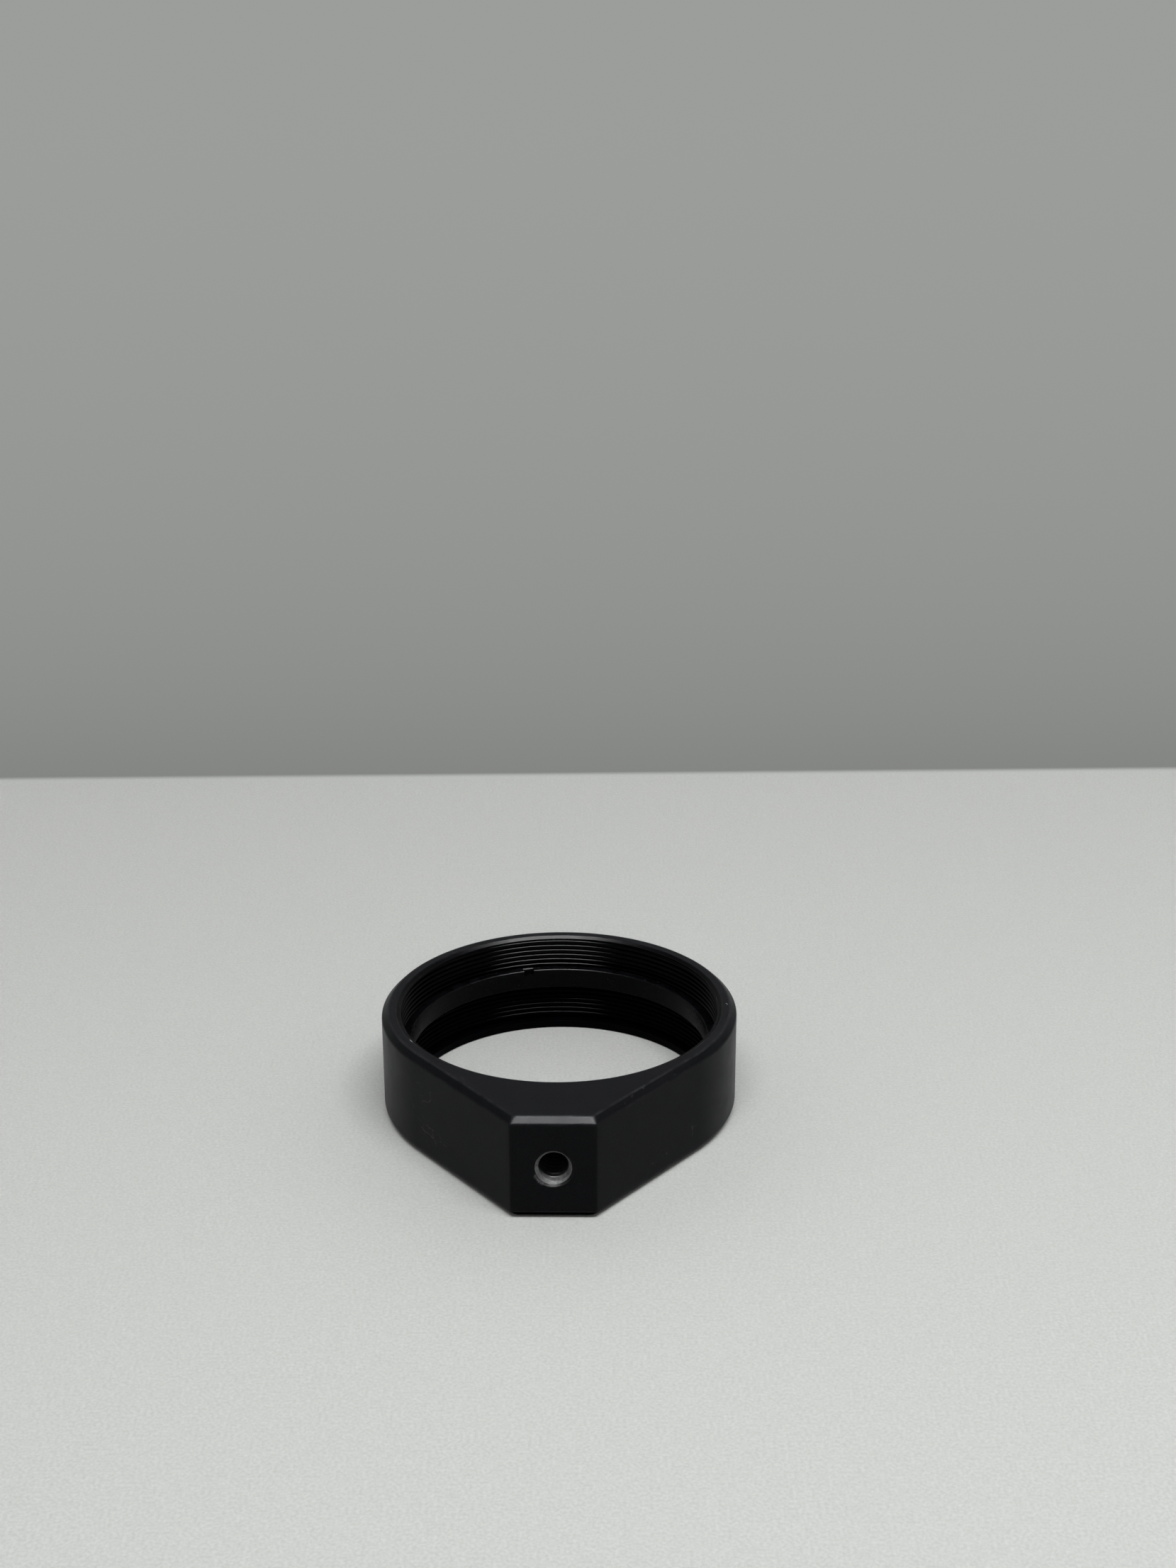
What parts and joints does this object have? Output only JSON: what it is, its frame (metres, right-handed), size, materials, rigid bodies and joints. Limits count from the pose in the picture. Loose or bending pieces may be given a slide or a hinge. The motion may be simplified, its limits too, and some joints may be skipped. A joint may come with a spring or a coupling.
{
  "type": "optical lens mount",
  "caption": "Fixed lens mount: a round black ring with a threaded bore, a rear lip for the lens, a threaded retaining ring with spanner slots, and a flat foot tapped for a post.",
  "frame": {"origin": "on the optical axis, in the plane of the back face that the mount lies on", "axes": "+Z along the optical axis, from the back face to the front face; -Y towards the flat end of the foot; +X to the right, seen from the foot"},
  "size_m": [0.0432, 0.0498, 0.0127],
  "materials": {
    "body_anodised": "satin black anodised aluminium, worn pale on the sharp edges and bare in the tapped hole",
    "ring_anodised": "matt black anodised aluminium, its inner front edge worn to bare metal"
  },
  "bodies": {
    "mount": {"mount_body": "body_anodised"},
    "ring": {"retaining_ring": "ring_anodised"}
  },
  "joints": [
    {"name": "ring_travel", "type": "slide", "parent": "mount", "child": "ring", "axis": [0, 0, 1], "range_m": [-0.00508, 0.00698]}
  ]
}
